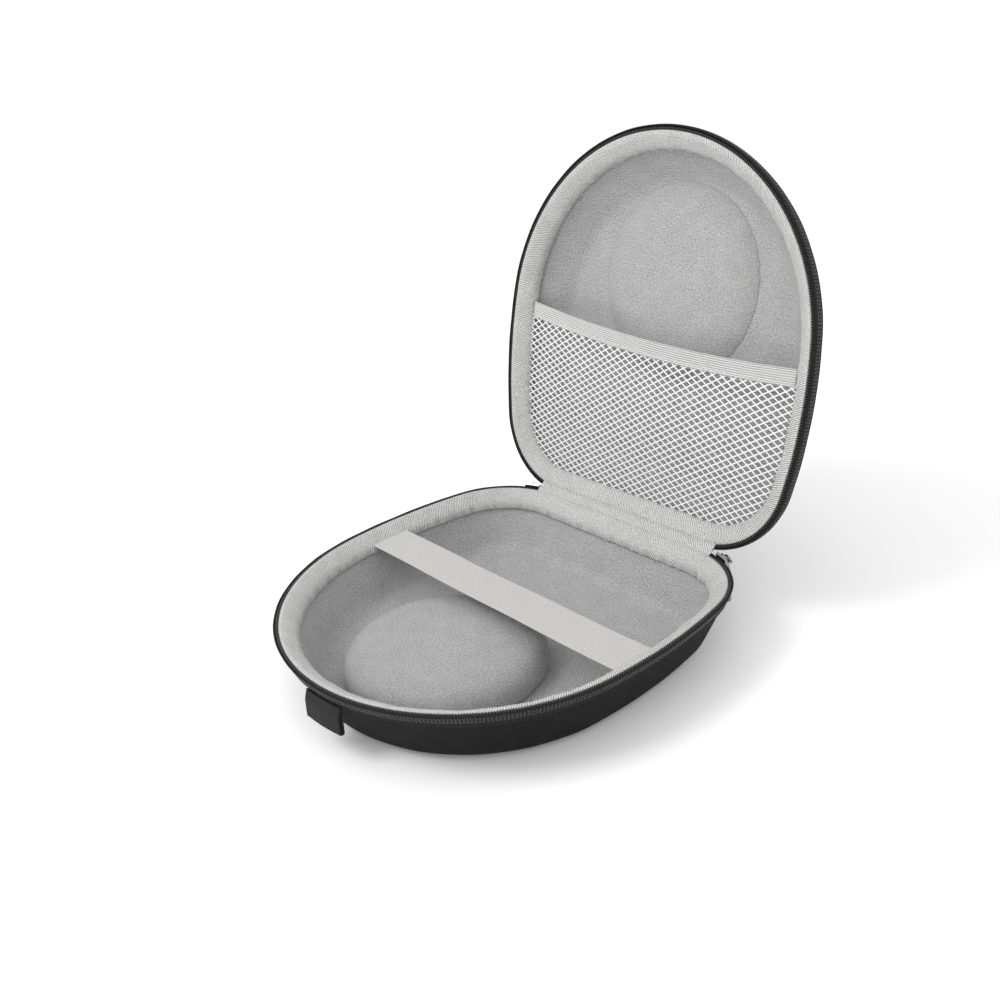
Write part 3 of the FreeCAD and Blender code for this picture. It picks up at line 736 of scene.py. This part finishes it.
def zip_coil(half):
    """One nylon wire wound into teeth, on a cord that fills it."""
    start, end = zip_span(ZIP_END)
    turns = round((end - start) / TEETH_PITCH)
    t = np.arange(turns * 10) / 10
    s = start + (end - start) * t / turns
    turn = 2 * math.pi * t
    line = place(half, s, COIL_INSET + COIL_WIDE * np.cos(turn), COIL_HEIGHT - COIL_DEEP * np.sin(turn))
    out = unit(line - place(half, s, COIL_INSET, COIL_HEIGHT))
    aside = np.cross(unit(np.gradient(line, axis=0)), out)
    angle = np.arange(6)[:, None] * math.pi / 3
    points = line[:, None] + WIRE_R * (np.cos(angle) * out[:, None] + np.sin(angle) * aside[:, None])
    cloth = np.stack(np.meshgrid(s, np.arange(7) * WIRE_R, indexing="ij"), -1)
    wire = seal(grid(half + "_zip_teeth", points, cloth, closed=True))
    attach(dress(wire, "zip_coil"), half)
    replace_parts(wire, half + "_zip_coil")
    around = np.arange(8) * math.pi / 4
    cord = np.stack([COIL_INSET + CORD_R * np.cos(around), COIL_HEIGHT + CORD_R * np.sin(around)], -1)
    core = sweep(half + "_zip_cord", half, cord, 2 * MM, (start, end))
    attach(dress(core, "zip_tape"), half)


# ---------------- round pads

def bake_modifiers(obj):
    """Turns an object's mesh into what its modifiers make of it."""
    evaluated = obj.evaluated_get(bpy.context.evaluated_depsgraph_get())
    mesh = bpy.data.meshes.new_from_object(evaluated)
    obj.modifiers.clear()
    obj.data = mesh


def points_of(obj):
    """A mesh's points as rows of (x, y, z)."""
    return np.array([tuple(vertex.co) for vertex in obj.data.vertices])


def swell(obj, voxel, cap):
    """Cloth simulation: remeshed, blown up a little with the foot held, and its movement capped."""
    remesh = obj.modifiers.new("remesh", "REMESH")
    remesh.mode = "VOXEL"
    remesh.voxel_size = voxel
    bake_modifiers(obj)
    before = points_of(obj)
    held = obj.vertex_groups.new(name="held")
    held.add(np.nonzero(before[:, 2] < 0)[0].tolist(), 1.0, "REPLACE")
    settings = obj.modifiers.new("swell", "CLOTH").settings
    settings.use_pressure = True
    settings.uniform_pressure_force = PAD_PRESSURE
    settings.vertex_group_mass = "held"
    settings.effector_weights.gravity = 0.0
    for step in range(1, PAD_FRAMES + 1):
        bpy.context.scene.frame_set(step)
    bake_modifiers(obj)
    bpy.context.scene.frame_set(1)
    way = points_of(obj) - before
    far = np.linalg.norm(way, axis=-1, keepdims=True)
    settled = before + way * np.minimum(1, cap / np.maximum(far, MM * MM))
    obj.data.vertices.foreach_set("co", settled.ravel())


def pad_section(half, radius, rise):
    """Half of a round pad's section: a steep edge in the base, and a long gentle one in the lid."""
    middle = 0.1 * MM
    if half == "base":
        corners = [(0, -PAD_SUNK), (radius, -PAD_SUNK), (radius - MM, 0.88 * rise), (0, rise)]
        edge = rounded(corners, [0, 0, 0.7 * rise, 0], 14)[1:-1]
        crown = 0.97 * rise
    else:
        t = np.linspace(0, 1, 24)
        wide = radius + MM
        slope = np.stack([wide - 2.8 * rise * t, rise * np.sin(t * math.pi / 2) ** 1.1], -1)
        edge = np.vstack([[(wide, -PAD_SUNK)], slope])
        crown = rise
    return resampled(np.vstack([[(middle, -PAD_SUNK)], edge, [(middle, crown)]]), PAD_STEP)


def turned(name, section, steps=96):
    """A closed form with an (outwards, up) section turned about the upright axis."""
    angle = (2 * math.pi * np.arange(steps + 1) / steps)[:-1, None]
    points = np.stack([np.cos(angle) * section[:, 0], np.sin(angle) * section[:, 0],
                       np.broadcast_to(section[:, 1], (steps, len(section)))], -1)
    return seal(grid(name, points, np.zeros((steps + 1, len(section), 2)), around=True))


def set_down(pad, half, radius, rise, centre_y, floor):
    """Puts a pad shaped about the origin on its half's floor, inside its outline, and unrolls its cloth."""
    spot = points_of(pad)
    spread = np.linalg.norm(spot[:, :2], axis=-1)
    keep = np.minimum(1, (radius + 1.5 * MM) / np.maximum(spread, MM))
    lumps = 0.2 * MM * np.sin(spot[:, 0] / (9 * MM) + 1) * np.sin(spot[:, 1] / (11 * MM))
    height = np.clip(spot[:, 2] + lumps * np.clip(spot[:, 2] / rise, 0, 1), -PAD_SUNK, rise + 0.5 * MM)
    put = swing(half, spot[:, 0] * keep, spot[:, 1] * keep + centre_y, floor - height)
    pad.data.vertices.foreach_set("co", put.ravel())
    pad.data.polygons.foreach_set("use_smooth", [True] * len(pad.data.polygons))
    seal(pad)
    while pad.data.uv_layers:
        pad.data.uv_layers.remove(pad.data.uv_layers[0])
    corners = np.array([loop.vertex_index for loop in pad.data.loops])
    unrolled = spot[:, :2] * (1 + (rise - height) / np.maximum(spread, 0.3 * radius))[:, None]
    pad.data.uv_layers.new(name="cloth").data.foreach_set("uv", unrolled[corners].ravel())


def round_pad(half):
    """Soft round pad, swelled a little by cloth simulation and set down on the floor."""
    node = half + "_round_pad"
    low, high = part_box("base_round_pad")
    radius = (high.x - low.x) / 2
    centre_y = high.y - radius
    top = probe(half, node, (0, centre_y, 0), (0, centre_y, RIM_Z))[2]
    beside = BACK_Y - FLAT_INSET - 5 * MM
    floor = probe(half, half + "_lining", (0, beside, 0), (0, beside, RIM_Z))[2]
    rise = floor - top
    pad = turned(node + "_cloth", pad_section(half, radius, rise))
    swell(pad, min(4 * MM, 0.45 * rise), 0.1 * rise)
    smooth = pad.modifiers.new("smooth", "SMOOTH")
    smooth.iterations = 6
    rounder = pad.modifiers.new("rounder", "SUBSURF")
    rounder.levels = 1
    bake_modifiers(pad)
    set_down(pad, half, radius, rise, centre_y, floor)
    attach(dress(pad, "pad_fabric" if half == "base" else "lining_fabric"), half)
    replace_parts(pad, node)


# ---------------- strap and pocket

def ribbon_section(width, thickness):
    """Closed section of a woven ribbon, a little thicker at its edges, as (across, up)."""
    across = np.linspace(-1, 1, 30)
    end = np.sqrt(np.clip(1 - ((np.abs(across) - 0.96) / 0.04).clip(0) ** 2, 0, 1))
    thick = (0.82 + 0.18 * np.exp(-((np.abs(across) - 0.93) / 0.05) ** 2)) * end
    upper = np.stack([across * width / 2, thick * thickness / 2], -1)
    return np.vstack([upper, upper[-2:0:-1] * (1, -1)])


def elastic_strap():
    """Flat woven elastic pulled across the base."""
    low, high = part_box("elastic_strap")
    section = ribbon_section(high.y - low.y, high.z - low.z)
    x = np.linspace(low.x, high.x, 200)
    share = x / high.x
    sag = STRAP_SAG * (1 - share ** 2)
    drift = 0.2 * MM * np.sin(share * 7)
    points = np.stack([np.broadcast_to(x[:, None], (len(x), len(section))),
                       (low.y + high.y) / 2 + section[:, 0] + drift[:, None],
                       (low.z + high.z) / 2 + section[:, 1] - sag[:, None]], -1)
    travelled = lengths(np.vstack([section, section[:1]]))
    cloth = np.stack(np.meshgrid(x, travelled, indexing="ij"), -1)
    strap = seal(grid("elastic_strap_cloth", points, cloth, closed=True))
    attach(dress(strap, "strap_elastic"), "base")
    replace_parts(strap, "elastic_strap")


def mouth(x):
    """The pocket mouth's upper edge in the lid's plan."""
    share = x / FRONT_R
    return POCKET_MID_Y + (POCKET_SIDE_Y - POCKET_MID_Y) * share ** 2 + POCKET_TILT * share


def held_in(x, y, inset):
    """Plan points moved in to at least an inset."""
    now, normal = inset_at(x, y)
    short = np.clip(inset - now, 0, None)
    return x - normal[..., 0] * short, y - normal[..., 1] * short


def slack(x, y):
    """How far the pocket bellies towards the opening."""
    across = np.clip(1 - (x / (FRONT_R - BAND_WIDTH)) ** 2, 0, 1)
    down = np.clip((y - mouth(x)) / (BACK_Y - POCKET_MID_Y - BAND_WIDTH), 0, 1)
    waves = 0.5 * MM * np.sin(x / (13 * MM) + 2 * down) * np.sin(math.pi * down)
    return POCKET_SLACK * across * np.cos(down * math.pi / 2) + waves * across


def pocket_elastic():
    """Ribbed elastic along the pocket's mouth, with a zigzag seam."""
    reach = FRONT_R - BAND_WIDTH
    x = np.linspace(-reach, reach, 220)
    section = ribbon_section(ELASTIC_W, ELASTIC_T)
    y = mouth(x)[:, None] + ELASTIC_W / 2 + section[:, 0]
    plan_x, plan_y = held_in(np.broadcast_to(x[:, None], y.shape).copy(), y, BAND_WIDTH - 1 * MM)
    height = POCKET_DROP + ELASTIC_T / 2 - section[:, 1] - slack(plan_x, plan_y)
    travelled = lengths(np.vstack([section, section[:1]]))
    cloth = np.stack(np.meshgrid(x, travelled, indexing="ij"), -1)
    band = seal(grid("pocket_elastic_cloth", swing("lid", plan_x, plan_y, height), cloth, closed=True))
    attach(dress(band, "pocket_elastic"), "lid")
    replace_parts(band, "pocket_elastic")

    pitch = 1.5 * MM
    x = np.arange(-reach + 2 * MM, reach - 2 * MM, pitch)
    lean = np.where(np.arange(len(x)) % 2, 1.0, -1.0)
    y = mouth(x) + ELASTIC_W - 1.7 * MM
    points, faces = stroke(2.3 * MM, 0.22 * MM)
    middle = swing("lid", x, y, POCKET_DROP - slack(x, y) + 0.02 * MM)
    down = swing("lid", 0, 1, 0) - swing("lid", 0, 0, 0)
    up = swing("lid", 0, 0, -1) - swing("lid", 0, 0, 0)
    first = np.array([1.0, 0, 0]) * 0.72 + lean[:, None] * down * 0.69
    axes = np.stack([first, np.cross(up, first), np.broadcast_to(up, first.shape)], 1)
    seam = seal(scattered("pocket_elastic_seam", points, faces, middle, axes))
    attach(dress(seam, "thread_light"), "lid")
    return [band, seam]


def mesh_pocket(hem):
    """Knitted net: diamond cells opened in a sheet that is held by the band and the elastic."""
    wide, tall = NET_PITCH
    columns = int(FRONT_R / wide * 2) + 1
    rows = int(BACK_Y / tall * 2) + 2
    i, j = np.meshgrid(np.arange(-columns, columns + 1), np.arange(-4, rows), indexing="ij")
    x, y = i * wide / 2, j * tall / 2
    inset = inset_at(x, y)[0]
    upper = mouth(x) + ELASTIC_W - NET_HIDDEN
    inside = (inset > BAND_WIDTH - MM) & (y > upper) & ((i + j) % 2 == 1)
    plan_x, plan_y = held_in(x, np.maximum(y, upper), BAND_WIDTH - 1.5 * MM)
    height = POCKET_DROP + ELASTIC_T / 2 - slack(plan_x, plan_y)
    points = swing("lid", plan_x, plan_y, height)
    across = x.shape[1]
    cells = [[(a + 1) * across + b, a * across + b + 1, (a - 1) * across + b, a * across + b - 1]
             for a, b in zip(*np.nonzero(inside)) if 0 < a < x.shape[0] - 1 and 0 < b < across - 1]
    used = np.unique(cells)
    order = np.zeros(points.shape[0] * across, int)
    order[used] = np.arange(len(used))
    flat = np.stack([plan_x, plan_y], -1).reshape(-1, 2)
    cells = np.array(cells)
    net = new_object("mesh_pocket_cloth", points.reshape(-1, 3)[used], order[cells], flat[cells])
    mesh = bmesh.new()
    mesh.from_mesh(net.data)
    holes = list(mesh.faces)
    bmesh.ops.inset_individual(mesh, faces=holes, thickness=NET_STRAND / 2, use_even_offset=True)
    bmesh.ops.delete(mesh, geom=holes, context="FACES")
    strands = sum(face.calc_area() for face in mesh.faces)
    mesh.to_mesh(net.data)
    mesh.free()
    solid = net.modifiers.new("thickness", "SOLIDIFY")
    solid.thickness = NET_T
    solid.offset = 0
    rounder = net.modifiers.new("rounder", "BEVEL")
    rounder.width = 0.13 * MM
    rounder.segments = 2
    rounder.limit_method = "ANGLE"
    rounder.angle_limit = math.radians(40)
    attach(dress(net, "pocket_mesh"), "lid")
    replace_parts(net, "mesh_pocket")


# ---------------- hinge and tab

def bridge(node, path, half_length, material):
    """Fabric that lies on both halves along the same (inset, height) path, joined by a soft fold."""
    s = np.linspace(-half_length, half_length, 180)
    base = place("base", s[:, None], path[:, 0], path[:, 1])
    lid = place("lid", s[:, None], path[::-1, 0], path[::-1, 1])
    start, end = base[:, -1], lid[:, 0]
    leave = unit(start - base[:, -2])
    arrive = unit(end - lid[:, 1])
    pull = 0.12 * np.linalg.norm(end - start, axis=-1, keepdims=True)
    t = np.linspace(0, 1, 14)[None, 1:-1, None]
    curve = ((1 - t) ** 3 * start[:, None] + 3 * t * (1 - t) ** 2 * (start + leave * pull)[:, None]
             + 3 * t ** 2 * (1 - t) * (end + arrive * pull)[:, None] + t ** 3 * end[:, None])
    points = np.concatenate([base, curve, lid], 1)
    travelled = lengths(points[len(s) // 2])
    middle = np.exp(-((travelled - travelled[-1] / 2) / (0.28 * travelled[-1])) ** 2)
    folds = ripple(s[:, None], travelled[None], (7 * MM, 11 * MM, 19 * MM), 41) * 0.3 * MM * middle
    points = displaced(points, folds)
    back = displaced(points, np.full(points.shape[:2], -SHEET_T))
    cloth = np.stack(np.meshgrid(s, travelled, indexing="ij"), -1)
    cloth = np.concatenate([cloth, cloth[:, ::-1], cloth[:, :1]], 1)
    strip = seal(grid(node + "_cloth", np.concatenate([points, back[:, ::-1]], 1), cloth, closed=True))
    dress(strip, material)
    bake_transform(strip)
    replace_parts(strip, node)


def hinge_lining_strip():
    """Light strip inside: it lies on both bands and folds between them."""
    slope = (BAND_BEVEL - BAND_GAP) / (BAND_WIDTH - BAND_TOP)
    inset = np.linspace(7.5, 0.2, 18) * MM
    sunk = 0.9 * MM * np.clip(inset / (5 * MM) - 0.5, 0, 1) - 0.3 * MM
    height = BAND_GAP + slope * np.clip(inset - BAND_TOP, 0, None) + sunk
    bridge("hinge_lining_strip", np.stack([inset, height], -1), BACK_HALF + 10.5 * MM, "binding_fabric")


def hinge_cover_strip():
    """Black strip outside, from one half's cover to the other's."""
    height = np.linspace(TAPE_DEPTH, 1.3 * MM, 10)
    inset = np.full(len(height), -SHEET_T)
    bridge("hinge_cover_strip", np.stack([inset, height], -1), BACK_HALF + 6 * MM, "cover_fabric")


def grip_tab():
    """Folded webbing, squeezed in under the tape and leaning out a little."""
    top, bottom = TAPE_DEPTH - 0.4 * MM, TAB_TIP
    down = np.linspace(top, bottom - MM, 16)
    turn = np.linspace(0, math.pi, 9)[1:-1]
    share = (down - top) / (bottom - top)
    gap = MM * (0.62 + 0.38 * np.clip(share * 3, 0, 1))
    lean = MM * (0.6 - 1.1 * np.clip(share * 3, 0, 1) - 0.9 * share)
    outer = np.stack([lean - gap, down], -1)
    inner = np.stack([lean + gap, down], -1)[::-1]
    tip = np.stack([lean[-1] - gap[-1] * np.cos(turn), down[-1] + gap[-1] * np.sin(turn)], -1)
    path = resampled(np.vstack([outer, tip, inner]), 0.6 * MM)
    way = unit(np.gradient(path, axis=0))
    normal = np.stack([-way[:, 1], way[:, 0]], -1)
    section = ribbon_section(TAB_W, WEBBING_T)
    radial = path[:, None, 0] + normal[:, None, 0] * section[:, 1]
    depth = path[:, None, 1] + normal[:, None, 1] * section[:, 1]
    out = np.array([math.cos(TAB_ANGLE), math.sin(TAB_ANGLE)])
    along = np.array([-out[1], out[0]])
    bow = (section[:, 0] ** 2) / (2 * FRONT_R)
    plan = (FRONT_R - radial - bow)[..., None] * out + section[:, 0][:, None] * along
    points = swing("base", plan[..., 0], plan[..., 1], depth)
    travelled = lengths(path)
    sideways = lengths(np.vstack([section, section[:1]]))
    cloth = np.stack(np.meshgrid(travelled, sideways, indexing="ij"), -1)[..., ::-1]
    tab = seal(grid("grip_tab_cloth", points, cloth, closed=True))
    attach(dress(tab, "webbing"), "grip_tab")
    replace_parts(tab, "grip_tab")


for half in ("base", "lid"):
    skin(half, half + "_cover", True, "cover_fabric")
    skin(half, half + "_lining", False, "lining_fabric")
    rim_band(half)
    zip_tape(half)
    zip_coil(half)
    round_pad(half)
    finish_cad(half + "_foam_core", "moulded_foam")
elastic_strap()
mesh_pocket(pocket_elastic())
hinge_lining_strip()
hinge_cover_strip()
grip_tab()
for side in ("right", "left"):
    for part in ("slider_" + side, "slider_pull_" + side, "coil_stop_" + side):
        finish_cad(part, "slider_metal", 0.3 * MM)


# ---------------- floor, lights and camera

CAMERA_TURN = math.radians(51.33)    # from the front round to the right
CAMERA_RISE = math.radians(25.15)
CAMERA_ROLL = math.radians(-5.77)
CAMERA_BACK = 558.5 * MM             # away from the middle of the rim plane
CAMERA_RIGHT = 10 * MM
CAMERA_UP = 46.6 * MM
CAMERA_LENS = 38.76                  # millimetres, as Blender takes it


def camera():
    """Seen from the front right and above, tipped a little to one side."""
    turn, rise, roll = CAMERA_TURN, CAMERA_RISE, CAMERA_ROLL
    back = Vector((math.sin(turn) * math.cos(rise), -math.cos(turn) * math.cos(rise), math.sin(rise)))
    across = Vector((0, 0, 1)).cross(back).normalized()
    up = back.cross(across)
    right = across * math.cos(roll) + up * math.sin(roll)
    top = up * math.cos(roll) - across * math.sin(roll)
    spot = Vector((0, 0, RIM_Z)) + back * CAMERA_BACK + right * CAMERA_RIGHT + top * CAMERA_UP
    data = bpy.data.cameras.new("camera")
    data.lens = CAMERA_LENS
    data.clip_start = 0.01
    obj = bpy.data.objects.new("camera", data)
    obj.matrix_world = Matrix.Translation(spot) @ Matrix((right, top, back)).transposed().to_4x4()
    bpy.context.scene.collection.objects.link(obj)
    bpy.context.scene.camera = obj


def lamp(name, spot, size, power):
    """Square soft light aimed at the middle of the case."""
    data = bpy.data.lights.new(name, "AREA")
    data.energy = power
    data.size = size
    obj = bpy.data.objects.new(name, data)
    aim = Vector((0, 0.03, 0.08)) - Vector(spot)
    obj.matrix_world = Matrix.Translation(spot) @ aim.to_track_quat("-Z", "Y").to_matrix().to_4x4()
    bpy.context.scene.collection.objects.link(obj)


def studio():
    """Pale floor and soft white light from all round, a little stronger from the front left."""
    paint = Paint("floor", uses_cloth=False)
    paint.set(Base_Color=(0.95, 0.95, 0.95, 1), Roughness=0.8)
    mesh = bpy.data.meshes.new("floor")
    reach = 4
    corners = [(-reach, -reach, 0), (reach, -reach, 0), (reach, reach, 0), (-reach, reach, 0)]
    mesh.from_pydata(corners, [], [(0, 1, 2, 3)])
    mesh.materials.append(paint.material)
    floor = bpy.data.objects.new("floor", mesh)
    floor.location.z = -0.2 * MM
    bpy.context.scene.collection.objects.link(floor)
    world = bpy.data.worlds.new("studio")
    world.use_nodes = True
    background = world.node_tree.nodes["Background"]
    background.inputs["Color"].default_value = (1, 1, 1, 1)
    background.inputs["Strength"].default_value = 1.06
    bpy.context.scene.world = world
    lamp("key", spot=(-0.45, -0.85, 1.15), size=0.6, power=9)
    lamp("fill", spot=(0.9, -0.7, 0.7), size=0.9, power=2)
    bpy.context.scene.view_settings.view_transform = "Standard"


camera()
studio()
